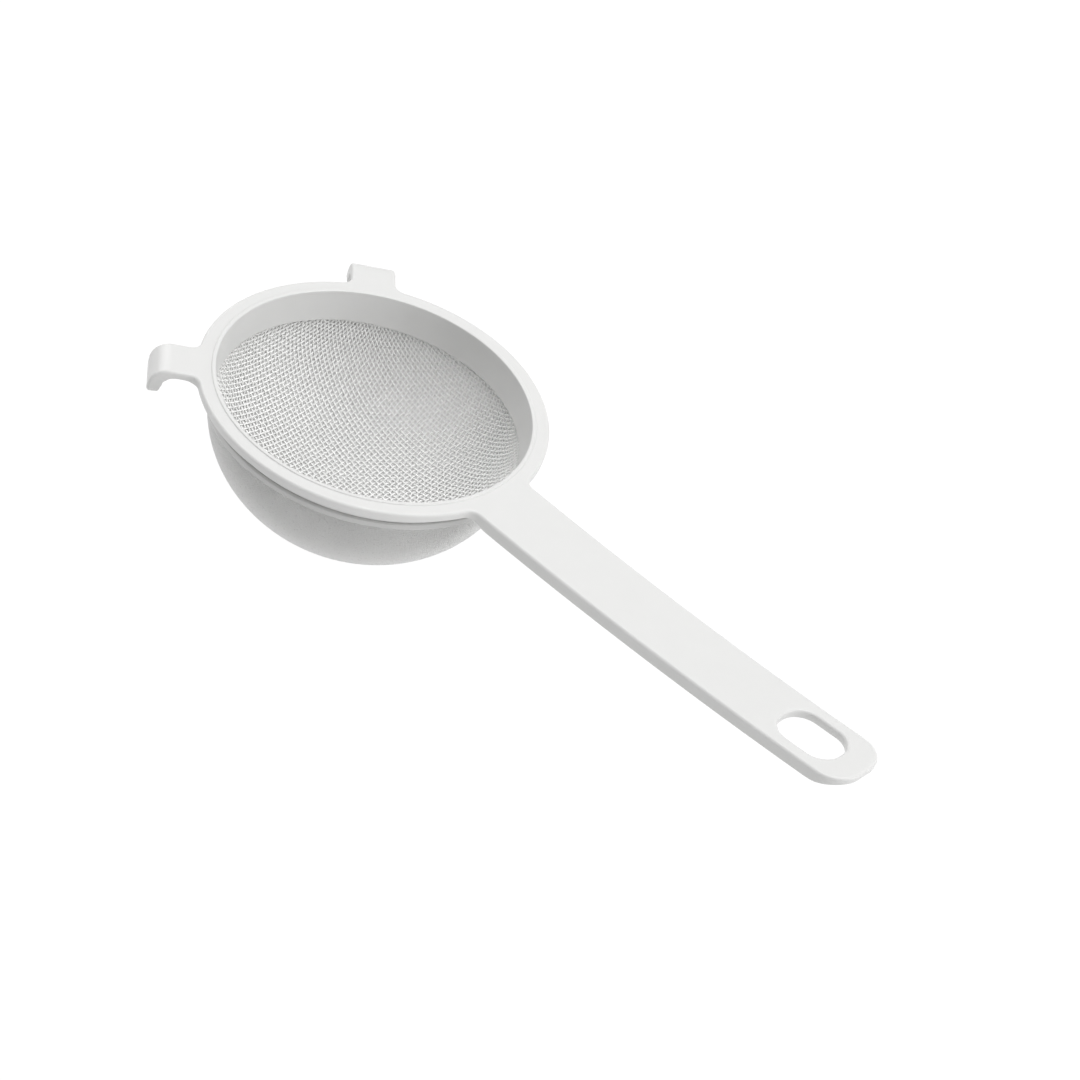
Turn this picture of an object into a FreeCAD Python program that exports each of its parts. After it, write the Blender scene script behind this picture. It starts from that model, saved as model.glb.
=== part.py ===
"""Double sieve strainer: a moulded rim with a handle and two rest hooks, and two gauze bowls held by a hoop.

Frame: millimetres, +Z up, +X along the handle. The origin is the centre of the mouth, level with the
top of the bead round it. The object is mirrored about the XZ plane.
"""
import FreeCAD, Part
import math
import os
import re

import Sketcher

# Driving dimensions, in millimetres unless a comment says degrees.
SIZES = {
    # Rim: a bead round the mouth, a flat flange and a collar below it.
    "mouth_radius": 55.0,
    "bead_width": 1.5,
    "bead_height": 0.4,
    "rim_radius": 61.3,
    "flange_depth": 3.6,
    "collar_radius": 56.7,
    "collar_depth": 11.8,
    "lip_radius": 54.05,
    "lip_wall": 0.75,
    # Hoop that clamps the two gauze hems onto the collar's lip.
    "hem_top": 8.0,
    "hoop_top": 8.2,
    "hoop_depth": 11.0,
    "hoop_inner_radius": 55.3,
    "hoop_outer_radius": 57.2,
    "hoop_edge_radius": 0.7,
    # Gauze bowls: a straight hem, then the lower half of an ellipsoid that starts at bowl_top.
    "bowl_top": 10.5,
    "fine_radius": 55.2,
    "fine_drop": 46.5,
    "fine_wall": 0.35,
    "coarse_radius": 54.8,
    "coarse_drop": 46.05,
    "coarse_wall": 0.7,
    # Handle: a tapered bar that sweeps up, hollow underneath, with a hanging hole.
    "handle_root": 58.0,
    "handle_tip": 219.0,
    "root_half_width": 13.55,
    "tip_half_width": 13.3,
    "tip_corner_radius": 10.4,
    "upsweep_start": 70.0,
    "upsweep_radius": 1451.0,
    "handle_height": 5.0,
    "taper_start": 206.0,
    "tip_height": 2.6,
    "skin": 3.4,
    "channel_start": 66.0,
    "channel_end": 211.5,
    "channel_half_width": 10.4,
    "channel_corner_radius": 7.0,
    "hole_start": 185.6,
    "hole_end": 208.8,
    "hole_half_width": 8.3,
    "hole_corner_radius": 7.5,
    # Rest hooks: flat arms that turn down over the edge of a bucket or pan.
    "hook_root": 57.5,
    "hook_reach": 76.7,
    "hook_drop": 10.7,
    "hook_half_width": 8.0,
    "hook_wall": 2.8,
    "hook_end_wall": 3.8,
    "hook_bend_radius": 7.0,
    "hook_inner_radius": 4.5,
    "hook_end_taper": 1.0,
    "hook_angle": 135.0,  # degrees from the handle
    # Rounding where the handle and the hooks leave the rim, and along the upper edges.
    "handle_root_fillet": 4.0,
    "hook_root_fillet": 4.0,
    "upper_edge_radius": 1.1,
    "bead_edge_radius": 0.35,
}
NODES = (
    "rim_collar",
    "handle",
    "rest_hook_left",
    "rest_hook_right",
    "coarse_gauze",
    "fine_gauze",
    "gauze_hoop",
)

doc = FreeCAD.newDocument("double_sieve_strainer")
sheet = doc.addObject("Spreadsheet::Sheet", "Sizes")
for row, (alias, value) in enumerate(SIZES.items(), start=1):
    sheet.set(f"A{row}", alias)
    sheet.set(f"B{row}", str(value))
    sheet.setAlias(f"B{row}", alias)
doc.recompute()


def bound(formula):
    """The formula with each size's name pointing at its cell in the sheet."""
    return re.sub(r"[a-z][a-z_]+", r"Sizes.\g<0>", formula)


def measure(formula):
    """The number that the formula gives now."""
    return float(sheet.evalExpression(bound(formula)))


def bind(item, **formulas):
    """Binds each named property of the item to its formula."""
    for name, formula in formulas.items():
        item.setExpression(name, bound(formula))
    return item


def constrain(sketch, kind, formula, *where):
    """Adds a sized constraint that follows its formula."""
    index = sketch.addConstraint(Sketcher.Constraint(kind, *where, measure(formula)))
    sketch.setExpression(f"Constraints[{index}]", bound(formula))


def clockwise_arc(start, end, radius):
    """The short arc that turns right from start to end."""
    along = end - start
    rise = math.sqrt(radius**2 - (along.Length / 2) ** 2)
    centre = (start + end) / 2 + FreeCAD.Vector(along.y, -along.x, 0).normalize() * rise
    circle = Part.Circle(centre, FreeCAD.Vector(0, 0, 1), radius)
    return Part.ArcOfCircle(circle, circle.parameter(end), circle.parameter(start))


def anticlockwise_arc(start, end, radius):
    """The short arc that turns left from start to end."""
    return clockwise_arc(end, start, radius)


def closed_sketch(body, role, name, corners, arcs=None):
    """A closed outline on one of the body's origin planes.

    corners are (across, up) formulas. arcs gives the round sides: the number of the corner that the
    side starts from, its radius formula and the function that turns it.
    """
    arcs = arcs or {}
    sketch = body.newObject("Sketcher::SketchObject", name)
    plane = next(item for item in body.Origin.OriginFeatures if item.Role == role)
    sketch.AttachmentSupport = [(plane, "")]
    sketch.MapMode = "FlatFace"
    points = [FreeCAD.Vector(measure(across), measure(up), 0) for across, up in corners]
    start_of, end_of = {}, {}
    for side, start in enumerate(points):
        end = points[(side + 1) % len(points)]
        radius, turn = arcs.get(side, (None, None))
        sketch.addGeometry(turn(start, end, measure(radius)) if turn else Part.LineSegment(start, end))
        # A sketch arc always runs anticlockwise, so a clockwise side ends at its first point.
        start_of[side], end_of[side] = (2, 1) if turn is clockwise_arc else (1, 2)
    for side, (across, up) in enumerate(corners):
        before = (side - 1) % len(points)
        sketch.addConstraint(
            Sketcher.Constraint("Coincident", before, end_of[before], side, start_of[side])
        )
        constrain(sketch, "DistanceX", across, -1, 1, side, start_of[side])
        constrain(sketch, "DistanceY", up, -1, 1, side, start_of[side])
        if side in arcs:
            constrain(sketch, "Radius", arcs[side][0], side)
    doc.recompute()
    return sketch


def new_body(name):
    return doc.addObject("PartDesign::Body", name)


def revolved(body, sketch):
    """The sketch turned all the way round the Z axis."""
    turned = body.newObject("PartDesign::Revolution", f"{body.Name}_turned")
    turned.Profile = sketch
    turned.ReferenceAxis = (sketch, ["V_Axis"])
    turned.Angle = 360
    doc.recompute()
    return turned


def padded(body, sketch, length):
    """The sketch made solid to both sides of its plane."""
    pad = bind(body.newObject("PartDesign::Pad", f"{body.Name}_pad"), Length=length)
    pad.Profile = sketch
    pad.Midplane = True
    doc.recompute()
    return pad


def edges_where(shape, test):
    """The names of the shape's edges that pass the test."""
    return [f"Edge{number}" for number, edge in enumerate(shape.Edges, start=1) if test(edge)]


def rounded(body, base, name, edges, radius):
    """A fillet on the named edges of the base feature."""
    fillet = bind(body.newObject("PartDesign::Fillet", name), Radius=radius)
    fillet.Base = (base, edges)
    doc.recompute()
    return fillet


def combined(kind, name, base, tool):
    """A boolean of two objects: Part::Cut, Part::Common or Part::Fuse."""
    made = doc.addObject(kind, name)
    made.Base, made.Tool = base, tool
    doc.recompute()
    return made


def edge_rounded(name, base, radius, test):
    """A fillet, with its radius read from the sheet, on the base's edges that pass the test."""
    made = doc.addObject("Part::Fillet", name)
    made.Base = base
    size = measure(radius)
    made.Edges = [(int(edge[4:]), size, size) for edge in edges_where(base.Shape, test)]
    doc.recompute()
    return made


def is_circle_at(edge, radius, height):
    """Whether the edge is a full circle of this radius, centred on the Z axis at this height."""
    curve = edge.Curve
    return (
        isinstance(curve, Part.Circle)
        and len(edge.Vertexes) == 1
        and abs(curve.Radius - radius) < 1e-3
        and abs(curve.Center.z - height) < 1e-3
    )


def is_upright(edge):
    """Whether the edge is a straight line along Z."""
    return isinstance(edge.Curve, Part.Line) and abs(edge.tangentAt(edge.FirstParameter).z) > 0.999


def make_ring():
    """The rim without its handle and hooks: bead, flange, collar and the lip that the gauze hangs on."""
    body = new_body("ring")
    lip_bottom = "lip_radius - lip_wall"
    profile = closed_sketch(
        body,
        "XZ_Plane",
        "ring_profile",
        [
            ("mouth_radius", "0"),
            ("mouth_radius + bead_width", "0"),
            ("mouth_radius + bead_width", "-bead_height"),
            ("rim_radius", "-bead_height"),
            ("rim_radius", "-flange_depth"),
            ("collar_radius", "-flange_depth"),
            ("collar_radius", "-hem_top"),
            ("lip_radius", "-hem_top"),
            ("lip_radius", "-collar_depth"),
            (lip_bottom, "-collar_depth"),
        ],
    )
    turned = revolved(body, profile)
    inner, outer = measure("mouth_radius"), measure("mouth_radius + bead_width")
    bead_edges = edges_where(
        turned.Shape, lambda edge: is_circle_at(edge, inner, 0) or is_circle_at(edge, outer, 0)
    )
    rounded(body, turned, "bead_rounding", bead_edges, "bead_edge_radius")
    return body


def side_profile(name, drop, height, end_height):
    """The handle seen from the side, level at first and then swept up, as a bar wider than it.

    drop is how far its top is below the handle's. height is its depth as far as the taper, and
    end_height its depth at the tip.
    """
    body = new_body(name)
    level = f"-bead_height - {drop}"

    def swept(x):
        return f"(({x} - upsweep_start) * ({x} - upsweep_start)) / (2 * upsweep_radius) {level}"

    outline = closed_sketch(
        body,
        "XZ_Plane",
        f"{name}_profile",
        [
            ("handle_root", level),
            ("upsweep_start", level),
            ("handle_tip", swept("handle_tip")),
            ("handle_tip", f"{swept('handle_tip')} - {end_height}"),
            ("taper_start", f"{swept('taper_start')} - {height}"),
            ("upsweep_start", f"{level} - {height}"),
            ("handle_root", f"{level} - {height}"),
        ],
        {
            1: ("upsweep_radius", anticlockwise_arc),
            4: ("upsweep_radius + handle_height", clockwise_arc),
        },
    )
    padded(body, outline, "4 * root_half_width")
    return body


def make_handle():
    """The handle's plan cut out of its side profile, then hollowed from below and pierced."""
    plan = new_body("handle_plan")
    outline = closed_sketch(
        plan,
        "XY_Plane",
        "handle_outline",
        [
            ("handle_root", "-root_half_width"),
            ("handle_tip", "-tip_half_width"),
            ("handle_tip", "tip_half_width"),
            ("handle_root", "root_half_width"),
        ],
    )
    block = padded(plan, outline, "handle_tip")
    tip = measure("handle_tip")
    tip_edges = edges_where(
        block.Shape, lambda edge: is_upright(edge) and abs(edge.CenterOfMass.x - tip) < 1e-3
    )
    rounded(plan, block, "tip_rounding", tip_edges, "tip_corner_radius")
    side = side_profile("handle_side", "0", "handle_height", "tip_height")
    bar = combined("Part::Common", "handle_bar", side, plan)

    channel_side = side_profile("channel_side", "skin", "handle_height", "handle_height")
    channel = combined("Part::Common", "channel", channel_side, upright_slot("channel"))
    hollow = combined("Part::Cut", "hollow_handle", bar, channel)
    return combined("Part::Cut", "pierced_handle", hollow, upright_slot("hole"))


def upright_slot(opening):
    """A tall block with rounded corners in plan, sized for the named opening, to cut it with."""
    body = new_body(f"{opening}_plan")
    start, end, half_width = f"{opening}_start", f"{opening}_end", f"{opening}_half_width"
    outline = closed_sketch(
        body,
        "XY_Plane",
        f"{opening}_outline",
        [
            (start, f"-{half_width}"),
            (end, f"-{half_width}"),
            (end, half_width),
            (start, half_width),
        ],
    )
    block = padded(body, outline, "handle_tip")
    corners = edges_where(block.Shape, is_upright)
    rounded(body, block, f"{opening}_rounding", corners, f"{opening}_corner_radius")
    return body


def make_hook(name, side):
    """A rest hook in its place: a flat arm that bends down at its end."""
    body = new_body(name)
    bend_start = "hook_reach - hook_bend_radius"
    end_inside = "hook_reach - hook_end_wall"
    outline = closed_sketch(
        body,
        "XZ_Plane",
        f"{name}_profile",
        [
            ("hook_root", "-bead_height"),
            (bend_start, "-bead_height"),
            ("hook_reach", "-bead_height - hook_bend_radius"),
            ("hook_reach", "-hook_drop"),
            (end_inside, "-hook_drop"),
            (f"{end_inside} - hook_end_taper", "-bead_height - hook_wall - hook_inner_radius"),
            (f"{end_inside} - hook_end_taper - hook_inner_radius", "-bead_height - hook_wall"),
            ("hook_root", "-bead_height - hook_wall"),
        ],
        {
            1: ("hook_bend_radius", clockwise_arc),
            5: ("hook_inner_radius", anticlockwise_arc),
        },
    )
    padded(body, outline, "2 * hook_half_width")
    body.Placement = FreeCAD.Placement(
        FreeCAD.Vector(), FreeCAD.Rotation(FreeCAD.Vector(0, 0, 1), side * measure("hook_angle"))
    )
    doc.recompute()
    return body


def make_moulding():
    """The rim, handle and hooks as the one piece that they are moulded as, with its edges rounded."""
    joined = doc.addObject("Part::MultiFuse", "raw_moulding")
    joined.Shapes = [make_ring(), make_handle(), make_hook("left_hook", 1), make_hook("right_hook", -1)]
    joined.Refine = True
    doc.recompute()

    rim = measure("rim_radius")

    def at_root(edge):
        place = edge.CenterOfMass
        return is_upright(edge) and abs(math.hypot(place.x, place.y) - rim) < 0.05

    def at_handle_root(edge):
        return at_root(edge) and edge.CenterOfMass.x > 0

    def at_hook_root(edge):
        return at_root(edge) and edge.CenterOfMass.x < 0

    handled = edge_rounded("handle_root_rounding", joined, "handle_root_fillet", at_handle_root)
    hooked = edge_rounded("hook_root_rounding", handled, "hook_root_fillet", at_hook_root)
    return edge_rounded("upper_rounding", hooked, "upper_edge_radius", is_upper_edge)


def top_height(x):
    """How high the handle's top is at this distance along it; the rim and hooks are level with its start."""
    past = max(0.0, x - measure("upsweep_start"))
    return past**2 / (2 * measure("upsweep_radius")) - measure("bead_height")


def is_upper_edge(edge):
    """Whether the edge runs round the outside of the moulding at its top, the hooks' bends included."""
    middle = edge.valueAt((edge.FirstParameter + edge.LastParameter) / 2)
    across = math.hypot(middle.x, middle.y)
    if across < measure("mouth_radius + bead_width") + 0.5:
        return False
    if middle.x > 0:
        return abs(middle.z - top_height(middle.x)) < 0.05
    return abs(middle.z - top_height(0)) < 0.05


def divide(moulding):
    """The moulding parted at the rim's outer wall into the rim, the handle and the two hooks."""
    rim_zone = bind(
        doc.addObject("Part::Cylinder", "rim_zone"), Radius="rim_radius", Height="4 * collar_depth"
    )
    rim_zone.Placement.Base.z = -2 * measure("collar_depth")
    combined("Part::Common", "rim_collar", moulding, rim_zone)
    outside = combined("Part::Cut", "outside_rim", moulding, rim_zone)
    for name, behind, left in (("handle", 0, 0.5), ("rest_hook_left", 1, 0), ("rest_hook_right", 1, 1)):
        zone = bind(
            doc.addObject("Part::Box", f"{name}_zone"),
            Length="handle_tip",
            Width="handle_tip",
            Height="handle_tip",
        )
        reach = measure("handle_tip")
        zone.Placement.Base = FreeCAD.Vector(-behind * reach, -left * reach, -reach / 2)
        combined("Part::Common", name, outside, zone)


def half_bowl(name, radius, drop, top):
    """A straight-sided plug that ends in half an ellipsoid, up to this height."""
    dome = bind(
        doc.addObject("Part::Ellipsoid", f"{name}_dome"), Radius1=drop, Radius2=radius, Radius3=radius
    )
    dome.Angle1, dome.Angle2, dome.Angle3 = -90, 0, 360
    wall = bind(
        doc.addObject("Part::Cylinder", f"{name}_wall"), Radius=radius, Height=f"bowl_top + {top}"
    )
    for item in (dome, wall):
        bind(item, **{"Placement.Base.z": "-bowl_top"})
    return combined("Part::Fuse", name, wall, dome)


def make_gauze(name, radius, drop, wall):
    """A gauze bowl as an even shell, from the top of its hem down."""
    outside = half_bowl(f"{name}_outside", radius, drop, "-hem_top")
    inside = half_bowl(f"{name}_inside", f"{radius} - {wall}", f"{drop} - {wall}", "hem_top")
    return combined("Part::Cut", name, outside, inside)


def make_hoop():
    """The hoop round the gauze hems, with its outer edges rounded."""
    body = new_body("gauze_hoop")
    section = closed_sketch(
        body,
        "XZ_Plane",
        "hoop_section",
        [
            ("hoop_inner_radius", "-hoop_top"),
            ("hoop_outer_radius", "-hoop_top"),
            ("hoop_outer_radius", "-hoop_depth"),
            ("hoop_inner_radius", "-hoop_depth"),
        ],
    )
    turned = revolved(body, section)
    outer, top, bottom = measure("hoop_outer_radius"), measure("-hoop_top"), measure("-hoop_depth")
    edges = edges_where(
        turned.Shape, lambda edge: is_circle_at(edge, outer, top) or is_circle_at(edge, outer, bottom)
    )
    rounded(body, turned, "hoop_rounding", edges, "hoop_edge_radius")


def export_nodes():
    """Checks every object and writes one STEP file for each node."""
    broken = [item.Name for item in doc.Objects if {"Invalid", "Error"} & set(item.State)]
    nodes = {name: doc.getObject(name) for name in NODES}
    bad = [name for name, item in nodes.items() if item.Shape.isNull() or not item.Shape.isValid()]
    if broken or bad:
        raise RuntimeError(f"failed objects: {broken}, bad shapes: {bad}")
    os.makedirs("parts", exist_ok=True)
    for name, item in nodes.items():
        item.Label = name
        item.Shape.exportStep(f"parts/{name}.step")
        print(name, len(item.Shape.Solids), round(item.Shape.Volume, 1), item.Shape.BoundBox)


divide(make_moulding())
make_gauze("coarse_gauze", "coarse_radius", "coarse_drop", "coarse_wall")
make_gauze("fine_gauze", "fine_radius", "fine_drop", "fine_wall")
make_hoop()
doc.recompute()
export_nodes()
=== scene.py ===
"""Looks for a double sieve strainer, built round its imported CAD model.

The rim, handle and rest hooks are one seamless plastic moulding, and each gauze bowl is woven from
real filaments. Lengths in the classes are millimetres and become metres when a mesh is made.
"""
import logging
import math
from collections.abc import Callable, Sequence
from dataclasses import dataclass
from enum import Enum

import bpy
import numpy as np
from bpy.types import Material, Node, NodeSocket, NodeTree, Object
from mathutils import Matrix, Vector
from mathutils.geometry import delaunay_2d_cdt


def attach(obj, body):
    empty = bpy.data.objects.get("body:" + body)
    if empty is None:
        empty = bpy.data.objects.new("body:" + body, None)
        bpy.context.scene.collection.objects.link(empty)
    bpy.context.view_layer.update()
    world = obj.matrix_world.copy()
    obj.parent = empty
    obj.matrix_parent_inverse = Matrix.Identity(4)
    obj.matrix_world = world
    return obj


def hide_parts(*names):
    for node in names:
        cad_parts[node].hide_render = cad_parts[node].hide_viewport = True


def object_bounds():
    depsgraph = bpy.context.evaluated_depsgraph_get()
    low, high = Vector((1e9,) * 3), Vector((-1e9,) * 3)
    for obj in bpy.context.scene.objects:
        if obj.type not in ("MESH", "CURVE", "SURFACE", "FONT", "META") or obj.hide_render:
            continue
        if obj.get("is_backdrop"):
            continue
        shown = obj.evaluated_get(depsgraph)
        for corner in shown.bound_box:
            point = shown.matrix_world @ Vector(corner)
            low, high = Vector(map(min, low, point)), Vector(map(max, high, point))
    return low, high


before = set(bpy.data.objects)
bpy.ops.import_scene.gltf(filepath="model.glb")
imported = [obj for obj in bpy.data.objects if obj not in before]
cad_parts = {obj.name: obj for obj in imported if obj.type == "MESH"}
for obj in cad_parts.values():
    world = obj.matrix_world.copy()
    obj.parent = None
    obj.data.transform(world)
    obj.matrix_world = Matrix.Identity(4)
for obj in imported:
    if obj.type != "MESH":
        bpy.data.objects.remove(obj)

MM = 0.001
ROOT_BODY = "root"
STL_TRIANGLES = 190_000  # a piece with more than this is split, so that its STL keeps every face

NOISE_RANGE = (0.3, 0.7)  # where most of a noise texture's values lie

Place = tuple[float, float] | np.ndarray  # in plan
Faces = Sequence[Sequence[int]] | np.ndarray  # point numbers for each face
Loop = tuple[np.ndarray, np.ndarray]  # point numbers, and their places in plan
Tube = tuple[np.ndarray, np.ndarray]  # points, and point numbers for each face
Lift = Callable[[np.ndarray], np.ndarray]  # turns places in plan into points in space
Depth = Callable[[np.ndarray], np.ndarray]  # gives a depth for each place in plan

log = logging.getLogger("strainer")


# ---------------------------------------------------------------- small tools


def linear(hex_colour: str) -> tuple[float, float, float, float]:
    """Turns an sRGB colour into the linear one that shaders take.

    Args:
        hex_colour: the colour as "#RRGGBB".

    Returns:
        Linear red, green, blue and an alpha of 1.
    """
    values = [int(hex_colour[start : start + 2], 16) / 255 for start in (1, 3, 5)]
    turned = [v / 12.92 if v <= 0.04045 else ((v + 0.055) / 1.055) ** 2.4 for v in values]
    return (*turned, 1.0)


def per_mm(size: float) -> float:
    """The texture scale, on coordinates in metres, whose features are about this many mm across."""
    return 1 / (size * MM)


def add_node(
    tree: NodeTree,
    kind: str,
    settings: dict[str, object] | None = None,
    inputs: dict[str | int, object] | None = None,
) -> Node:
    """Adds a node, sets its properties and fills or links its inputs.

    Args:
        tree: the node tree that gets the node.
        kind: the node's type name.
        settings: property values by name.
        inputs: a plain value or an output socket for each input, by name or number.

    Returns:
        The new node.
    """
    node = tree.nodes.new(kind)
    for name, value in (settings or {}).items():
        setattr(node, name, value)
    for name, value in (inputs or {}).items():
        if isinstance(value, NodeSocket):
            tree.links.new(value, node.inputs[name])
        else:
            node.inputs[name].default_value = value
    return node


def eased(values: np.ndarray, knots: list[tuple[float, float]]) -> np.ndarray:
    """Interpolates between knots with a level tangent at each.

    Args:
        values: where to read the curve.
        knots: (place, height) pairs in rising order of place.

    Returns:
        The heights at those places.
    """
    places, heights = np.array(knots).T
    index = np.clip(np.searchsorted(places, values) - 1, 0, len(places) - 2)
    share = np.clip((values - places[index]) / (places[index + 1] - places[index]), 0, 1)
    share = share * share * (3 - 2 * share)
    return heights[index] * (1 - share) + heights[index + 1] * share


def mesh_piece(name: str, vertices: np.ndarray, faces: Faces, material: Material) -> Object:
    """Makes a smooth-shaded object from points in millimetres.

    Args:
        name: the object's name.
        vertices: the points, one row each.
        faces: point numbers for each face.
        material: the finish of the whole piece.

    Returns:
        The new object, linked into the scene.
    """
    mesh = bpy.data.meshes.new(name)
    faces = faces.tolist() if isinstance(faces, np.ndarray) else faces
    mesh.from_pydata((vertices * MM).tolist(), [], faces)
    mesh.validate()
    mesh.shade_smooth()
    mesh.materials.append(material)
    piece = bpy.data.objects.new(name, mesh)
    bpy.context.scene.collection.objects.link(piece)
    return piece


def settle(piece: Object, slot: str, *nodes: str) -> Object:
    """Puts a finished piece on its body, in place of its CAD nodes.

    Args:
        piece: the finished piece.
        slot: not used.
        nodes: the CAD nodes that it replaces.

    Returns:
        The same piece.
    """
    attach(piece, ROOT_BODY)
    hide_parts(*nodes)
    log.info("%s: %d faces", piece.name, len(piece.data.polygons))
    return piece


# ------------------------------------------------------------------- finishes


def start_material(name: str) -> tuple[Material, NodeTree, NodeSocket]:
    """Makes an empty node material.

    Args:
        name: the material's name.

    Returns:
        The material, its node tree, and the object coordinates to place patterns by.
    """
    made = bpy.data.materials.new(name)
    made.use_nodes = True
    made.node_tree.nodes.clear()
    return made, made.node_tree, add_node(made.node_tree, "ShaderNodeTexCoord").outputs["Object"]


class Slot(Enum):
    """The record's material slots."""

    MOULDING = "moulded_plastic"
    HOOP = "hoop_plastic"
    COARSE = "coarse_gauze"
    FINE = "fine_gauze"


@dataclass(frozen=True)
class Plastic:
    """What the plastics share: colour and gloss that vary a little, and light that goes a little way in."""

    name: str
    colour: str
    shaded_colour: str
    roughness: float
    roughness_spread: float
    ior: float
    glow: float
    glow_depth: float  # mm

    def add_surface(self, tree: NodeTree, pattern: NodeSocket, bump: Node) -> None:
        """Adds the shader and the output, with gloss and colour that follow a pattern.

        Args:
            tree: the node tree that gets the nodes.
            pattern: the pattern's value.
            bump: the node that gives the surface its relief.
        """
        gloss = add_node(
            tree,
            "ShaderNodeMapRange",
            inputs={
                "Value": pattern,
                "From Min": NOISE_RANGE[0],
                "From Max": NOISE_RANGE[1],
                "To Min": self.roughness - self.roughness_spread,
                "To Max": self.roughness + self.roughness_spread,
            },
        )
        tint = add_node(
            tree,
            "ShaderNodeMix",
            {"data_type": "RGBA"},
            {"Factor": pattern, 6: linear(self.colour), 7: linear(self.shaded_colour)},
        )
        shader = add_node(
            tree,
            "ShaderNodeBsdfPrincipled",
            inputs={
                "Base Color": tint.outputs[2],
                "Roughness": gloss.outputs["Result"],
                "IOR": self.ior,
                "Subsurface Weight": self.glow,
                "Subsurface Radius": (1.0, 1.0, 1.0),
                "Subsurface Scale": self.glow_depth * MM,
                "Normal": bump.outputs["Normal"],
            },
        )
        add_node(tree, "ShaderNodeOutputMaterial", inputs={"Surface": shader.outputs["BSDF"]})


@dataclass(frozen=True)
class MouldedPolypropylene(Plastic):
    """White polypropylene, injection moulded in a lightly spark-eroded tool.

    The tool leaves a fine, even grain that spreads reflections into a soft satin sheen, the melt's
    flow leaves broad, faint differences in gloss, and thin edges glow a little.
    """

    colour: str = "#D7D7D6"
    shaded_colour: str = "#D1D1D0"
    roughness: float = 0.4
    roughness_spread: float = 0.08
    ior: float = 1.49
    glow: float = 0.12
    glow_depth: float = 1.2
    # The real grain is about 0.05 mm, too fine to show, so it is drawn at 0.35 mm.
    grain: float = 0.35
    grain_height: float = 0.006
    # Sinks and flow marks are about 14 mm apart.
    flow: float = 14.0
    flow_height: float = 0.05

    def material(self) -> Material:
        """Builds the finish as a node material.

        Returns:
            The new material.
        """
        made, tree, place = start_material(self.name)
        grain = add_node(
            tree,
            "ShaderNodeTexNoise",
            inputs={"Vector": place, "Scale": per_mm(self.grain), "Detail": 2.0, "Roughness": 0.6},
        )
        flow = add_node(
            tree,
            "ShaderNodeTexNoise",
            inputs={"Vector": place, "Scale": per_mm(self.flow), "Detail": 3.0, "Roughness": 0.45},
        )
        waves = add_node(
            tree,
            "ShaderNodeBump",
            inputs={"Strength": 0.25, "Distance": self.flow_height * MM, "Height": flow.outputs["Fac"]},
        )
        bump = add_node(
            tree,
            "ShaderNodeBump",
            inputs={
                "Strength": 0.5,
                "Distance": self.grain_height * MM,
                "Height": grain.outputs["Fac"],
                "Normal": waves.outputs["Normal"],
            },
        )
        self.add_surface(tree, flow.outputs["Fac"], bump)
        return made


@dataclass(frozen=True)
class NylonMonofilament(Plastic):
    """White nylon 6 drawn into single round filaments and woven.

    Drawn filament is smooth, so it has a brighter, tighter sheen than the moulding, with faint
    differences along its length from the draw.
    """

    colour: str = "#F0F0EE"
    shaded_colour: str = "#E4E4E2"
    roughness: float = 0.32
    roughness_spread: float = 0.07
    ior: float = 1.53
    glow: float = 0.2
    glow_depth: float = 0.3
    # Draw marks along a filament are under 0.1 mm, too fine to show, so they are drawn at 1.2 mm.
    draw: float = 1.2
    draw_height: float = 0.01

    def material(self) -> Material:
        """Builds the finish as a node material.

        Returns:
            The new material.
        """
        made, tree, place = start_material(self.name)
        draw = add_node(
            tree,
            "ShaderNodeTexNoise",
            inputs={"Vector": place, "Scale": per_mm(self.draw), "Detail": 2.0, "Roughness": 0.5},
        )
        bump = add_node(
            tree,
            "ShaderNodeBump",
            inputs={"Strength": 0.3, "Distance": self.draw_height * MM, "Height": draw.outputs["Fac"]},
        )
        self.add_surface(tree, draw.outputs["Fac"], bump)
        return made


@dataclass(frozen=True)
class LightTable:
    """Opal acrylic sheet over lamps: an even, shadowless white with a very slight cloudiness.

    Its brightness is its own. The sheet returns little of the light that falls on it, so the
    strainer leaves no shadow.
    """

    name: str = "opal_acrylic_cast"
    colour: str = "#404040"
    glow: float = 0.97
    roughness: float = 0.9
    roughness_spread: float = 0.03
    cloud: float = 400.0

    def material(self) -> Material:
        """Builds the finish as a node material.

        Returns:
            The new material.
        """
        made, tree, place = start_material(self.name)
        cloud = add_node(
            tree, "ShaderNodeTexNoise", inputs={"Vector": place, "Scale": per_mm(self.cloud)}
        )
        gloss = add_node(
            tree,
            "ShaderNodeMapRange",
            inputs={
                "Value": cloud.outputs["Fac"],
                "To Min": self.roughness - self.roughness_spread,
                "To Max": self.roughness + self.roughness_spread,
            },
        )
        shader = add_node(
            tree,
            "ShaderNodeBsdfPrincipled",
            inputs={
                "Base Color": linear(self.colour),
                "Roughness": gloss.outputs["Result"],
                "Emission Color": linear("#FFFFFF"),
                "Emission Strength": self.glow,
            },
        )
        add_node(tree, "ShaderNodeOutputMaterial", inputs={"Surface": shader.outputs["BSDF"]})
        return made


# ------------------------------------------------------------ lines and skins


@dataclass
class Outline:
    """A closed line in plan, with the direction out of the plastic at each of its points."""

    points: np.ndarray
    outward: np.ndarray

    def inset(self, distance: float | np.ndarray) -> np.ndarray:
        """The line moved this far into the plastic."""
        return self.points - np.reshape(distance, (-1, 1)) * self.outward


def straight(start: Place, end: Place, outward: Place, step: float) -> np.ndarray:
    """Points along a straight run, without its end point.

    Args:
        start: where the run starts.
        end: where it ends.
        outward: the unit vector out of the plastic.
        step: the largest gap between points.

    Returns:
        Rows of x, y and the outward direction.
    """
    count = max(1, math.ceil(math.dist(start, end) / step))
    share = np.arange(count)[:, None] / count
    places = np.array(start) * (1 - share) + np.array(end) * share
    return np.hstack([places, np.tile(outward, (count, 1))])


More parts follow.
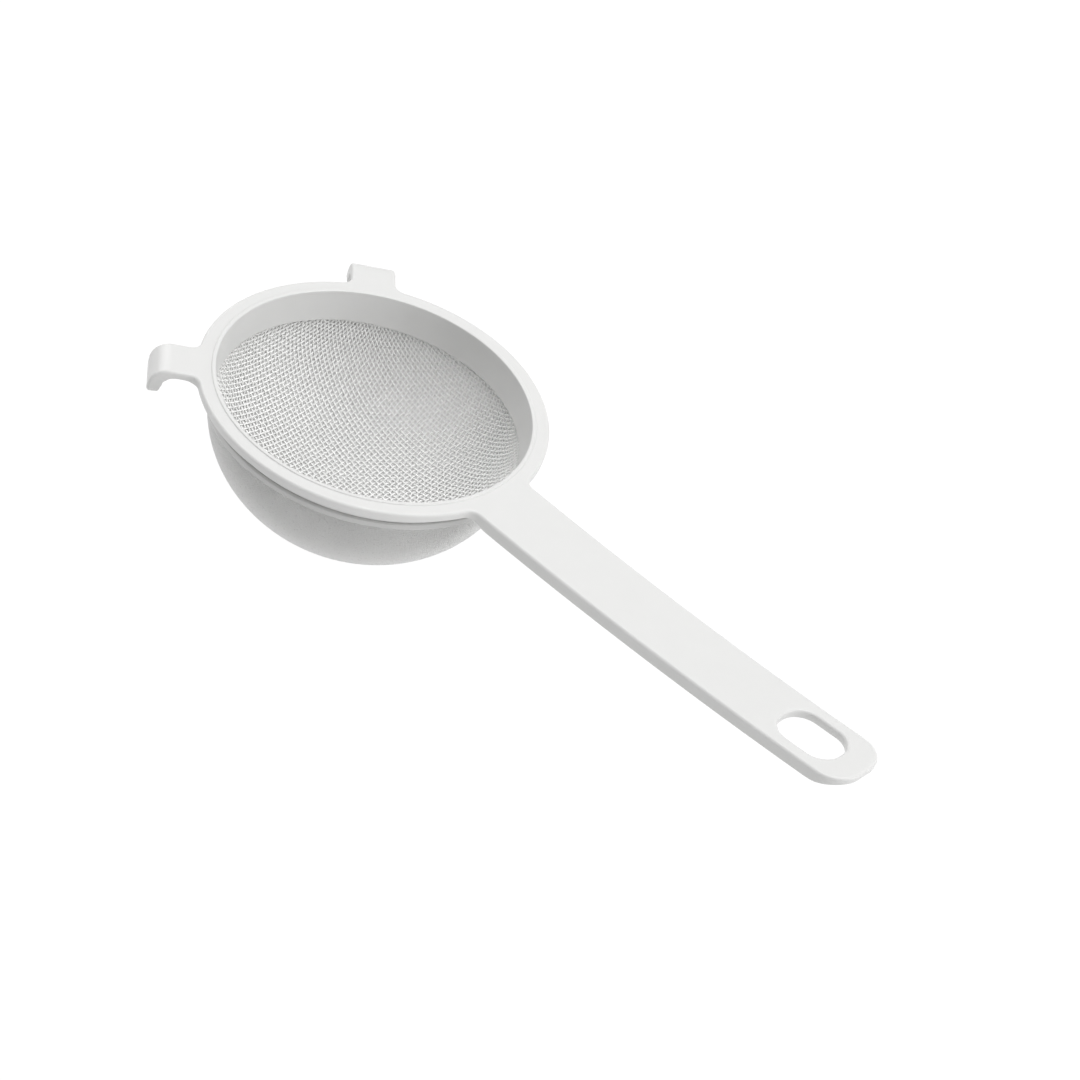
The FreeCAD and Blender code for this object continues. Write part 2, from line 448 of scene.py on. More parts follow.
def round_turn(
    centre: Place, radius: float, start: float, end: float, step: float, hollow: bool = False
) -> np.ndarray:
    """Points along an arc, without its end point.

    Args:
        centre: the arc's centre.
        radius: its radius.
        start: the angle it starts at, in radians.
        end: the angle it ends at.
        step: the largest gap between points.
        hollow: whether the plastic is outside the arc.

    Returns:
        Rows of x, y and the outward direction.
    """
    count = max(2, math.ceil(abs(end - start) * radius / step))
    angles = start + (end - start) * np.arange(count) / count
    rays = np.column_stack([np.cos(angles), np.sin(angles)])
    return np.hstack([np.array(centre) + radius * rays, -rays if hollow else rays])


def rounded_slot(start: float, end: float, half_width: float, corner: float, step: float) -> Outline:
    """The outline of a pocket or hole on the handle's centre line.

    Args:
        start: its end nearest the rim.
        end: its other end.
        half_width: half its width.
        corner: the radius of its corners.
        step: the largest gap between points.

    Returns:
        The line, whose outward direction points into the opening.
    """
    inner_start, inner_end, inner_side = start + corner, end - corner, half_width - corner
    quarter = math.pi / 2
    rows = [
        straight((inner_start, -half_width), (inner_end, -half_width), (0, 1), step),
        round_turn((inner_end, -inner_side), corner, -quarter, 0, step, True),
        straight((end, -inner_side), (end, inner_side), (-1, 0), step),
        round_turn((inner_end, inner_side), corner, 0, quarter, step, True),
        straight((inner_end, half_width), (inner_start, half_width), (0, -1), step),
        round_turn((inner_start, inner_side), corner, quarter, 2 * quarter, step, True),
        straight((start, inner_side), (start, -inner_side), (1, 0), step),
        round_turn((inner_start, -inner_side), corner, 2 * quarter, 3 * quarter, step, True),
    ]
    rows = np.vstack(rows)
    return Outline(rows[:, :2], rows[:, 2:])


def circle(radius: float, count: int) -> np.ndarray:
    """Evenly spaced points on a circle round the origin, in plan."""
    angles = 2 * math.pi * np.arange(count) / count
    return radius * np.column_stack([np.cos(angles), np.sin(angles)])


def encloses(loops: list[np.ndarray], places: np.ndarray) -> np.ndarray:
    """Tells which places lie between the loops, by counting crossings.

    Args:
        loops: the outer line and any holes, in plan.
        places: the places to test.

    Returns:
        True for each place in the filled region.
    """
    odd = np.zeros(len(places), bool)
    for loop in loops:
        for (x0, y0), (x1, y1) in zip(loop, np.roll(loop, -1, 0)):
            if y0 == y1:
                continue
            spans = (places[:, 1] >= min(y0, y1)) & (places[:, 1] < max(y0, y1))
            crossing = x0 + (places[:, 1] - y0) * (x1 - x0) / (y1 - y0)
            odd ^= spans & (places[:, 0] < crossing)
    return odd


class Skin:
    """Grows one mesh out of loops, the bands between them and the flat fills inside them."""

    CLEARANCE = 0.55  # how near the loops the grid may come, in grid spacings
    MERGE = 1e-7  # places closer than this are one

    def __init__(self) -> None:
        """Starts with no points and no faces."""
        self.points: list[np.ndarray] = []
        self.faces: list[tuple[int, ...]] = []
        self.count = 0

    def add(self, points: np.ndarray) -> np.ndarray:
        """Adds points and returns their numbers.

        Args:
            points: the points, one row each.

        Returns:
            The number of each in the mesh.
        """
        self.points.append(points)
        numbers = np.arange(self.count, self.count + len(points))
        self.count += len(points)
        return numbers

    def band(self, first: np.ndarray, second: np.ndarray) -> None:
        """Joins two closed loops of the same length with quads."""
        after_first, after_second = np.roll(first, -1), np.roll(second, -1)
        self.faces += list(zip(first.tolist(), after_first.tolist(), after_second.tolist(), second.tolist()))

    def fill(self, loops: list[Loop], lift: Lift, spacing: float) -> None:
        """Fills the region between loops with triangles on an even grid.

        Args:
            loops: (point numbers, places in plan) of the outer loop and of each hole.
            lift: turns places in plan into points in space.
            spacing: the grid's pitch.
        """
        plans = [plan for _, plan in loops]
        rim = np.vstack(plans)
        low, high = rim.min(0), rim.max(0)
        grid = np.stack(
            np.meshgrid(np.arange(low[0], high[0], spacing), np.arange(low[1], high[1], spacing)), -1
        ).reshape(-1, 2)
        grid[:, 0] += spacing / 2 * (np.round((grid[:, 1] - low[1]) / spacing) % 2)
        grid = grid[encloses(plans, grid)]
        nearest = np.array([np.min(np.sum((rim - place) ** 2, 1)) for place in grid])
        grid = grid[nearest > (self.CLEARANCE * spacing) ** 2]
        edges, start = [], 0
        for plan in plans:
            numbers = np.arange(start, start + len(plan))
            edges += list(zip(numbers.tolist(), np.roll(numbers, -1).tolist()))
            start += len(plan)
        places = np.vstack([rim, grid])
        made, _, triangles, origins, _, _ = delaunay_2d_cdt(
            [Vector(place) for place in places], edges, [], 0, self.MERGE
        )
        numbers = np.concatenate([*(numbers for numbers, _ in loops), self.add(lift(grid))])
        middles = np.array([np.mean([made[corner] for corner in face], 0) for face in triangles])
        kept = encloses(plans, middles)
        for face, keep in zip(triangles, kept):
            if keep:
                self.faces.append(tuple(int(numbers[origins[corner][0]]) for corner in face))

    def vertices(self) -> np.ndarray:
        """All the points, one row each."""
        return np.vstack(self.points)


# ----------------------------------------------------------------- sub-assemblies


@dataclass
class Moulding:
    """The rim, the handle and the two rest hooks, moulded as one."""

    finish: MouldedPolypropylene
    # Rim
    mouth_radius: float = 55.0
    bead_width: float = 1.5
    bead_height: float = 0.4
    rim_radius: float = 61.3
    flange_wall: float = 3.2
    collar_radius: float = 56.7
    collar_depth: float = 11.8
    lip_radius: float = 54.05
    lip_wall: float = 0.75
    shoulder_depth: float = 8.0
    # Handle
    handle_start: float = 58.0
    handle_tip: float = 219.0
    root_half_width: float = 13.55
    tip_half_width: float = 13.3
    tip_corner: float = 10.4
    sweep_start: float = 70.0
    sweep_radius: float = 1451.0
    handle_wall: float = 5.0
    taper_start: float = 206.0
    tip_wall: float = 2.6
    root_fillet: float = 4.0
    root_run: float = 9.0  # how far the wall takes to reach its full depth
    tip_overrun: float = 0.5
    # Pocket under the handle, and the hanging hole
    skin: float = 3.4
    # (start, end, half width, corner radius) of each
    pocket: tuple[float, float, float, float] = (66.0, 211.5, 10.4, 7.0)
    hole: tuple[float, float, float, float] = (185.6, 208.8, 8.3, 7.5)
    hole_lower_radius: float = 0.4
    pocket_cove: tuple[float, float] = (1.0, 0.45)  # how far its ceiling curves in, and down
    pocket_rim_radius: float = 0.2
    # Hooks
    hook_angle: float = 135.0
    hook_half_width: float = 8.0
    hook_reach: float = 76.7
    hook_drop: float = 10.7
    hook_bend: float = 7.0
    hook_fillet: float = 4.0
    hook_corner: float = 1.9
    arm_run: float = 4.0
    arm_wall: float = 2.8
    # (distance past the start of the bend, wall): the inside of the bend is filled out.
    bend_walls: tuple[tuple[float, float], ...] = ((-2.5, 2.8), (4.0, 4.2), (10.0, 4.7))
    hook_end_wall: float = 3.8
    # Edges and mesh
    edge_radius: float = 1.1
    lower_edge_radius: float = 0.35
    draft: float = 0.12
    wall_shares: tuple[float, float] = (0.35, 0.7)  # where an upright wall gets a row of points
    edge_steps: int = 7
    turn_step: float = 0.7
    run_step: float = 1.4
    grid: float = 1.2
    round_count: int = 360

    @property
    def bend_start(self) -> float:
        """Where a hook's arm starts to bend, measured from the mouth's centre."""
        return self.hook_reach - self.hook_bend

    @property
    def unfolded_reach(self) -> float:
        """How far a hook would reach if it were flattened."""
        straight_end = self.hook_drop - self.bead_height - self.hook_bend
        return self.bend_start + self.hook_bend * math.pi / 2 + straight_end

    def outline(self) -> Outline:
        """The moulding's edge in plan, with its hooks unfolded flat.

        Returns:
            The whole closed line.
        """
        half = self.half_outline()
        mirrored = half[:0:-1] * np.array([1, -1, 1, -1])
        rows = np.vstack([half, mirrored])
        return Outline(rows[:, :2], rows[:, 2:])

    def half_outline(self) -> np.ndarray:
        """The half with y >= 0, from the handle's tip round to the back of the rim.

        Returns:
            Rows of x, y and the outward direction.
        """
        rim, fillet = self.rim_radius, self.root_fillet
        lean = math.atan(
            (self.root_half_width - self.tip_half_width) / (self.handle_tip - self.handle_start)
        )
        side = np.array([math.sin(lean), math.cos(lean)])
        forward = np.array([math.cos(lean), -math.sin(lean)])
        offset = self.root_half_width * math.cos(lean) + self.handle_start * math.sin(lean)

        corner_x = self.handle_tip - self.tip_corner
        corner_y = (offset - self.tip_corner - corner_x * math.sin(lean)) / math.cos(lean)
        corner = np.array([corner_x, corner_y])
        fillet_centre = (offset + fillet) * side + forward * math.sqrt(
            (rim + fillet) ** 2 - (offset + fillet) ** 2
        )
        fillet_angle = math.atan2(fillet_centre[1], fillet_centre[0])
        step, run = self.turn_step, self.run_step
        hook = self.hook_outline()
        hook_angle = math.radians(self.hook_angle)
        spread = self.hook_spread()
        return np.vstack(
            [
                straight((self.handle_tip, 0), (self.handle_tip, corner_y), (1, 0), step),
                round_turn(corner, self.tip_corner, 0, math.pi / 2 - lean, step),
                straight(corner + self.tip_corner * side, fillet_centre - fillet * side, side, run),
                round_turn(
                    fillet_centre, fillet, -math.pi / 2 - lean, fillet_angle - math.pi, step, True
                ),
                round_turn((0, 0), rim, fillet_angle, hook_angle - spread, run),
                hook,
                round_turn((0, 0), rim, hook_angle + spread, math.pi, run),
                [(-rim, 0, -1, 0)],
            ]
        )

    def hook_spread(self) -> float:
        """The angle from a hook's centre line to where its fillet meets the rim."""
        return math.asin((self.hook_half_width + self.hook_fillet) / (self.rim_radius + self.hook_fillet))

    def hook_outline(self) -> np.ndarray:
        """One unfolded hook with its fillets, turned to its place.

        Returns:
            Rows of x, y and the outward direction.
        """
        half, fillet, corner, step = self.hook_half_width, self.hook_fillet, self.hook_corner, self.turn_step
        root = math.sqrt((self.rim_radius + fillet) ** 2 - (half + fillet) ** 2)
        spread, quarter, end = self.hook_spread(), math.pi / 2, self.unfolded_reach
        rows = np.vstack(
            [
                round_turn((root, -half - fillet), fillet, math.pi - spread, quarter, step, True),
                straight((root, -half), (end - corner, -half), (0, -1), step),
                round_turn((end - corner, corner - half), corner, -quarter, 0, step / 2),
                straight((end, corner - half), (end, half - corner), (1, 0), step),
                round_turn((end - corner, half - corner), corner, 0, quarter, step / 2),
                straight((end - corner, half), (root, half), (0, 1), step),
                round_turn((root, half + fillet), fillet, -quarter, spread - math.pi, step, True),
            ]
        )
        angle = math.radians(self.hook_angle)
        turn = np.array([[math.cos(angle), math.sin(angle)], [-math.sin(angle), math.cos(angle)]])
        return np.hstack([rows[:, :2] @ turn, rows[:, 2:] @ turn])

    def along_hook(self, plan: np.ndarray) -> np.ndarray:
        """How far each place is out along the nearer hook's centre line."""
        angle = math.radians(self.hook_angle)
        return plan[:, 0] * math.cos(angle) + np.abs(plan[:, 1]) * math.sin(angle)

    def wall(self, plan: np.ndarray) -> np.ndarray:
        """How far the underside is below the top at each place.

        Args:
            plan: places on the flat moulding.

        Returns:
            One depth for each place.
        """
        rim, full = self.flange_wall, self.handle_wall
        handle = eased(
            plan[:, 0],
            [
                (self.handle_start, rim),
                (self.handle_start + self.root_run, full),
                (self.taper_start, full),
                (self.handle_tip + self.tip_overrun, self.tip_wall),
            ],
        )
        bend = self.bend_start
        hook = eased(
            self.along_hook(plan),
            [
                (self.rim_radius, rim),
                (self.rim_radius + self.arm_run, self.arm_wall),
                *((bend + past, wall) for past, wall in self.bend_walls),
                (self.unfolded_reach, self.hook_end_wall),
            ],
        )
        return np.where(plan[:, 0] > 0, handle, hook)

    def place(self, plan: np.ndarray, depth: float | np.ndarray) -> np.ndarray:
        """Folds flat places into the moulding's real shape.

        Args:
            plan: places on the flat moulding.
            depth: how far each is below the top face.

        Returns:
            Points in space: the handle swept up and the hooks bent down.
        """
        x, y = plan.T
        depth = np.broadcast_to(depth, x.shape)
        climb = np.maximum(x - self.sweep_start, 0) ** 2 / (2 * self.sweep_radius)
        flat = np.column_stack([x, y, climb - self.bead_height - depth])
        angle, along = math.radians(self.hook_angle), self.along_hook(plan)
        across = -x * math.sin(angle) + np.abs(y) * math.cos(angle)
        past = np.maximum(along - self.bend_start, 0)
        turn = np.minimum(past / self.hook_bend, math.pi / 2)
        arm = self.hook_bend - depth
        out = np.minimum(along, self.bend_start) + arm * np.sin(turn)
        down = self.bead_height + self.hook_bend - arm * np.cos(turn)
        down += np.maximum(past - self.hook_bend * math.pi / 2, 0)
        bent = np.column_stack(
            [
                out * math.cos(angle) - across * math.sin(angle),
                np.sign(y) * (out * math.sin(angle) + across * math.cos(angle)),
                -down,
            ]
        )
        return np.where(((along > self.bend_start) & (x < 0))[:, None], bent, flat)

    @staticmethod
    def rounding(radius: float, steps: int) -> list[tuple[float, float]]:
        """(in, down) from a face to the wall beside it, round an edge of this radius."""
        angles = np.linspace(0, math.pi / 2, steps)
        return [(radius * (1 - math.sin(a)), radius * (1 - math.cos(a))) for a in angles]

    def edge_band(
        self, skin: Skin, line: Outline, floor: Depth, top: float, radius: float, low_radius: float
    ) -> tuple[Loop, Loop]:
        """Skins an edge all the way from one face to the other.

        Args:
            skin: the mesh that grows.
            line: the edge in plan.
            floor: gives the depth of the far face at each place.
            top: the depth of the near face.
            radius: the rounding at the near face.
            low_radius: the rounding at the far face.

        Returns:
            The loops where the near and the far face start, as (point numbers, places in plan).
        """
        loops = []
        for inward, down in self.rounding(radius, self.edge_steps):
            plan = line.inset(inward)
            loops.append((skin.add(self.place(plan, top + down)), plan))
        for share in self.wall_shares:
            plan = line.inset(self.draft * share)
            bottom = floor(plan) - low_radius
            loops.append((skin.add(self.place(plan, top + radius + (bottom - top - radius) * share)), plan))
        for inward, up in reversed(self.rounding(low_radius, self.edge_steps - 2)):
            plan = line.inset(self.draft + inward)
            loops.append((skin.add(self.place(plan, floor(plan) - up)), plan))
        for first, second in zip(loops, loops[1:]):
            skin.band(first[0], second[0])
        return loops[0], loops[-1]

    def ring_profile(self) -> list[tuple[float, float]]:
        """The rim's section, down its inside and back up the outside of its collar.

        Returns:
            (radius, height) of each point. The small numbers beside a size round its edges.
        """
        mouth, bead, lip = self.mouth_radius, self.mouth_radius + self.bead_width, self.lip_radius
        inner, bottom = lip - self.lip_wall, -self.collar_depth
        collar, shoulder = self.collar_radius, -self.shoulder_depth
        under = -self.bead_height - self.flange_wall
        base = -self.bead_height
        return [
            (bead + 0.42, base), (bead + 0.12, base), (bead, base + 0.12),
            (bead - 0.05, -0.14), (bead - 0.15, -0.04), (bead - 0.34, 0.0), (mouth + 0.5, 0.0),
            (mouth + 0.27, -0.04), (mouth + 0.1, -0.15), (mouth, -0.36), (mouth - 0.06, -0.8),
            (mouth - 0.6, -4.4), (mouth - 1.12, -8.0), (inner + 0.1, bottom + 0.9),
            (inner, bottom + 0.3), (inner + 0.06, bottom + 0.08), (inner + 0.2, bottom),
            (lip - 0.25, bottom), (lip - 0.07, bottom + 0.07), (lip, bottom + 0.25),
            (lip, shoulder - 0.3), (lip + 0.08, shoulder - 0.08), (lip + 0.3, shoulder),
            (collar - 0.3, shoulder), (collar - 0.08, shoulder + 0.08), (collar, shoulder + 0.3),
            (collar, under - 0.5), (collar + 0.15, under - 0.15), (collar + 0.5, under),
        ]

    def build(self) -> Object:
        """Makes the whole moulding as one closed mesh.

        Returns:
            The moulding, on its body.
        """
        skin = Skin()
        edge_top, edge_bottom = self.edge_band(
            skin, self.outline(), self.wall, 0, self.edge_radius, self.lower_edge_radius
        )
        hole = rounded_slot(*self.hole, self.turn_step)
        hole_top, hole_bottom = self.edge_band(
            skin,
            hole,
            lambda plan: np.full(len(plan), self.skin),
            0,
            self.edge_radius,
            self.hole_lower_radius,
        )
        pocket = rounded_slot(*self.pocket, self.run_step)
        pocket_ceiling, pocket_rim = self.pocket_band(skin, pocket)

        rings = []
        for radius, height in self.ring_profile():
            plan = circle(radius, self.round_count)
            rings.append((skin.add(np.column_stack([plan, np.full(len(plan), height)])), plan))
        for first, second in zip(rings, rings[1:]):
            skin.band(first[0], second[0])

        skin.fill([edge_top, rings[0], hole_top], lambda plan: self.place(plan, 0), self.grid)
        skin.fill(
            [edge_bottom, rings[-1], pocket_rim], lambda plan: self.place(plan, self.wall(plan)), self.grid
        )
        skin.fill([pocket_ceiling, hole_bottom], lambda plan: self.place(plan, self.skin), self.grid)

        piece = mesh_piece("moulding", skin.vertices(), skin.faces, self.finish.material())
        face_outward(piece)
        return settle(
            piece, Slot.MOULDING.value, "rim_collar", "handle", "rest_hook_left", "rest_hook_right"
        )

    def pocket_band(self, skin: Skin, line: Outline) -> tuple[Loop, Loop]:
        """Skins the wall of the pocket under the handle.

        Args:
            skin: the mesh that grows.
            line: the pocket's edge in plan.

        Returns:
            The loops where its ceiling and the underside start, as (point numbers, places in plan).
        """
        (width, height), loops = self.pocket_cove, []
        for angle in np.linspace(0, math.pi / 2, self.edge_steps):
            plan = line.inset(-width * (1 - math.sin(angle)) - self.draft)
            depth = self.skin + height * (1 - math.cos(angle))
            loops.append((skin.add(self.place(plan, depth)), plan))
        for inward, up in reversed(self.rounding(self.pocket_rim_radius, self.edge_steps - 2)):
            plan = line.inset(inward)
            loops.append((skin.add(self.place(plan, self.wall(plan) - up)), plan))
        for first, second in zip(loops, loops[1:]):
            skin.band(first[0], second[0])
        return loops[0], loops[-1]


def face_outward(piece: Object) -> None:
    """Turns every face of a closed mesh outward, and settles its shading normals by face area.

    Args:
        piece: an object with a closed mesh.
    """
    bpy.context.view_layer.objects.active = piece
    piece.select_set(True)
    bpy.ops.object.mode_set(mode="EDIT")
    bpy.ops.mesh.select_all(action="SELECT")
    bpy.ops.mesh.normals_make_consistent(inside=False)
    bpy.ops.object.mode_set(mode="OBJECT")
    piece.select_set(False)
    piece.modifiers.new("even_shading", "WEIGHTED_NORMAL")


@dataclass
class GauzeBowl:
    """A bowl of plain-woven filament, its threads sheared round the bowl as pressed cloth is."""

    node: str
    finish: NylonMonofilament
    slot: Slot
    radius: float  # of the cloth's middle, like drop
    drop: float
    pitch: float
    filament: float  # diameter
    lift: float  # how far a filament rises and falls as it passes over and under
    sides: int
    steps: int  # mesh steps from one crossing to the next
    turn: float = 0.0  # degrees that the weave is turned from the handle's line
    centre_height: float = -10.5  # above it the cloth is upright
    hem_height: float = -8.3
    overrun: int = 2  # pitches that the net goes on above the hem
    clamp_height: float = -11.0  # above it the hoop presses the threads flat
    meridian_points: int = 4000
    snap_steps: int = 3
    newton_steps: int = 6
    fewest_crossings: int = 3
    longest_slide: float = 0.4  # in pitches, for one step

    def snap(self, points: np.ndarray) -> np.ndarray:
        """Moves points onto the bowl's middle surface.

        Args:
            points: points near that surface.

        Returns:
            The moved points.
        """
        for _ in range(self.snap_steps):
            across, up = self.steepness(points)
            slope = np.concatenate([across, up[..., None]], -1)
            points = points - (self.excess(points) / np.sum(slope * slope, -1))[..., None] * slope
        return points

    def excess(self, points: np.ndarray) -> np.ndarray:
        """How far outside the middle surface each point is, as its implicit function gives it."""
        below = np.minimum(points[..., 2] - self.centre_height, 0) / self.drop
        return np.sum(points[..., :2] ** 2, -1) / self.radius**2 + below**2 - 1

    def steepness(self, points: np.ndarray) -> tuple[np.ndarray, np.ndarray]:
        """The slope of that function, across and up."""
        below = np.minimum(points[..., 2] - self.centre_height, 0)
        return 2 * points[..., :2] / self.radius**2, 2 * below / self.drop**2

    def normals(self, points: np.ndarray) -> np.ndarray:
        """The unit normals out of the bowl.

        Args:
            points: points on the bowl.

        Returns:
            One unit vector for each point.
        """
        across, up = self.steepness(points)
        slope = np.concatenate([across, up[..., None]], -1)
        return slope / np.linalg.norm(slope, axis=-1, keepdims=True)

    def meridian(self) -> np.ndarray:
        """(radius, height) of the crossings from the bottom up, one pitch apart along the cloth.

        Returns:
            One row for each crossing.
        """
        turns = np.linspace(0, math.pi / 2, self.meridian_points)
        path = np.column_stack(
            [self.radius * np.sin(turns), self.centre_height - self.drop * np.cos(turns)]
        )
        path = np.vstack([path, [self.radius, self.hem_height + self.overrun * self.pitch]])
        walked = np.concatenate([[0], np.cumsum(np.linalg.norm(np.diff(path, axis=0), axis=1))])
        stops = np.arange(0, walked[-1], self.pitch)
        return np.column_stack([np.interp(stops, walked, path[:, k]) for k in (0, 1)])

    def quarter_net(self) -> np.ndarray:
        """The crossings in one quarter, each one pitch along both threads from its neighbours.

        Returns:
            The crossings as a square grid, with NaN where the bowl has ended.
        """
        line = self.meridian()
        count = len(line)
        net = np.full((count, count, 3), np.nan)
        net[:, 0] = np.column_stack([line[:, 0], np.zeros(count), line[:, 1]])
        net[0, :] = np.column_stack([np.zeros(count), line[:, 0], line[:, 1]])
        for total in range(2, 2 * count - 1):
            first = np.arange(max(1, total - count + 1), min(total - 1, count - 1) + 1)
            second = total - first
            left, below = net[first - 1, second], net[first, second - 1]
            guess = self.snap(left + below - net[first - 1, second - 1])
            for _ in range(self.newton_steps):
                guess = self.reach(guess, left, below)
            too_high = ~(guess[:, 2] < self.hem_height + self.overrun * self.pitch)
            guess[too_high] = np.nan
            net[first, second] = guess
        return net

    def reach(self, guess: np.ndarray, left: np.ndarray, below: np.ndarray) -> np.ndarray:
        """Slides points over the bowl until each is one pitch from both of its neighbours.

        Args:
            guess: the points to slide.
            left: the neighbour of each along one thread.
            below: its neighbour along the other.

        Returns:
            The points after one Newton step.
        """
        normal = self.normals(guess)
        rows = np.stack([guess - left, guess - below, normal], 1)
        lengths = np.linalg.norm(rows[:, :2], axis=2)
        wanted = np.zeros((len(guess), 3))
        wanted[:, :2] = (self.pitch - lengths) * lengths
        sound = np.isfinite(rows).all((1, 2)) & (np.abs(np.linalg.det(np.nan_to_num(rows))) > 1e-6)
        moved = np.full_like(guess, np.nan)
        if sound.any():
            shift = np.linalg.solve(rows[sound], wanted[sound][..., None])[..., 0]
            size = np.linalg.norm(shift, axis=1, keepdims=True)
            shift *= np.minimum(1, self.longest_slide * self.pitch / np.maximum(size, 1e-9))
            moved[sound] = self.snap(guess[sound] + shift)
        return moved

    def net(self) -> np.ndarray:
        """The crossings of the whole bowl, as an odd square grid with the bottom in its middle.

        Returns:
            The grid, with NaN where the bowl has ended.
        """
        quarter = self.quarter_net()
        flip = np.array([-1, 1, 1])
        half = np.concatenate([quarter[:0:-1] * flip, quarter])
        return np.concatenate([half[:, :0:-1] * np.array([1, -1, 1]), half], 1)

    def thread(self, crossings: np.ndarray, phase: int) -> Tube | None:
        """One filament as a tube through its crossings.

        Args:
            crossings: the places on the bowl that it passes over or under.
            phase: 0 if it passes outside at the first of them, 1 if inside.

        Returns:
            Its points and faces, or None if too little of it is on the bowl.
        """
        sound = np.flatnonzero(np.isfinite(crossings[:, 0]))
        if len(sound) < self.fewest_crossings:
            return None
        first, last = sound[0], sound[-1]
        crossings = crossings[first : last + 1]
        if not np.isfinite(crossings).all():
            return None
        stops = np.arange((len(crossings) - 1) * self.steps + 1) / self.steps
        index = np.minimum(stops.astype(int), len(crossings) - 2)
        share = (stops - index)[:, None]
        middle = self.snap(crossings[index] * (1 - share) + crossings[index + 1] * share)
        normal = self.normals(middle)
        loose = np.clip((self.clamp_height - middle[:, 2]) / self.pitch, 0, 1)
        wave = self.lift * loose * np.cos(math.pi * (stops + first + phase))
        path = middle + wave[:, None] * normal
        path = path[middle[:, 2] < self.hem_height]
        normal = normal[middle[:, 2] < self.hem_height]
        if len(path) < 2 * self.steps:
            return None
        along = np.gradient(path, axis=0)
        along /= np.linalg.norm(along, axis=1, keepdims=True)
        side = np.cross(along, normal)
        side /= np.linalg.norm(side, axis=1, keepdims=True)
        up = np.cross(side, along)
        angles = 2 * math.pi * np.arange(self.sides) / self.sides
        rays = up[:, None] * np.cos(angles)[:, None] + side[:, None] * np.sin(angles)[:, None]
        points = (path[:, None] + self.filament / 2 * rays).reshape(-1, 3)
        ring = np.arange(self.sides)
        starts = np.arange(len(path) - 1)[:, None] * self.sides
        after = (ring + 1) % self.sides
        quads = np.stack(
            [starts + ring, starts + after, starts + self.sides + after, starts + self.sides + ring], -1
        ).reshape(-1, 4)
        return points, quads

    def build(self) -> list[Object]:
        """Weaves the bowl and puts it in place, in pieces small enough for the export.

        Returns:
            The pieces, on their body.
        """
        net = self.net()
        angle = math.radians(self.turn)
        turn = np.array(
            [[math.cos(angle), math.sin(angle), 0], [-math.sin(angle), math.cos(angle), 0], [0, 0, 1]]
        )
        material = self.finish.material()
        pieces = []
        for weave, grid, start in (("warp", net, 0), ("weft", net.transpose(1, 0, 2), 1)):
            batch, triangles, number = [], 0, 1
            for column in range(grid.shape[1]):
                thread = self.thread(grid[:, column], column + start)
                if thread is None:
                    continue
                if triangles + 2 * len(thread[1]) > STL_TRIANGLES:
                    pieces.append(self.join(f"{self.node}_{weave}_{number}", batch, turn, material))
                    batch, triangles, number = [], 0, number + 1
                batch.append(thread)
                triangles += 2 * len(thread[1])
            pieces.append(self.join(f"{self.node}_{weave}_{number}", batch, turn, material))
        return pieces

    def join(self, name: str, threads: list[Tube], turn: np.ndarray, material: Material) -> Object:
        """Makes one object from a run of threads, with both ends of each closed.

        Args:
            name: the object's name.
            threads: the threads, as thread() makes them.
            turn: the rotation from the weave's own line to the handle's.
            material: the finish of the whole piece.

        Returns:
            The object, on its body.
        """
        points, faces, start = [], [], 0
        for places, quads in threads:
            points.append(places @ turn)
            faces += (quads + start).tolist()
            faces.append(list(range(start + self.sides - 1, start - 1, -1)))
            end = start + len(places)
            faces.append(list(range(end - self.sides, end)))
            start = end
        piece = mesh_piece(name, np.vstack(points), faces, material)
        return settle(piece, self.slot.value, self.node)


@dataclass
class Hoop:
    """The hoop that clamps the gauze hems, whose CAD shape is already right."""

    finish: MouldedPolypropylene
    node: str = "gauze_hoop"

    def build(self) -> Object:
        """Dresses the CAD hoop in its finish: the moulding's white plastic coloured darker, as painted shade
        under the rim's flange.

        Returns:
            The hoop.
        """
        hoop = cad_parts[self.node]
        hoop.data.materials.clear()
        hoop.data.materials.append(self.finish.material())
        log.info("%s: %d faces, from the CAD model", hoop.name, len(hoop.data.polygons))
        return hoop


@dataclass(frozen=True)
class Softbox:
    """A square soft light. Its lengths are metres and its power is in watts."""

    name: str
    place: tuple[float, float, float]
    target: tuple[float, float, float]
    size: float
    power: float

    def hang(self) -> None:
        """Puts the lamp in its place and points it at its target."""
        lamp = bpy.data.lights.new(self.name, "AREA")
        lamp.size, lamp.energy = self.size, self.power
        holder = bpy.data.objects.new(self.name, lamp)
        holder.location = self.place
        toward = Vector(self.target) - Vector(self.place)
        holder.rotation_euler = toward.to_track_quat("-Z", "Y").to_euler()
        bpy.context.scene.collection.objects.link(holder)


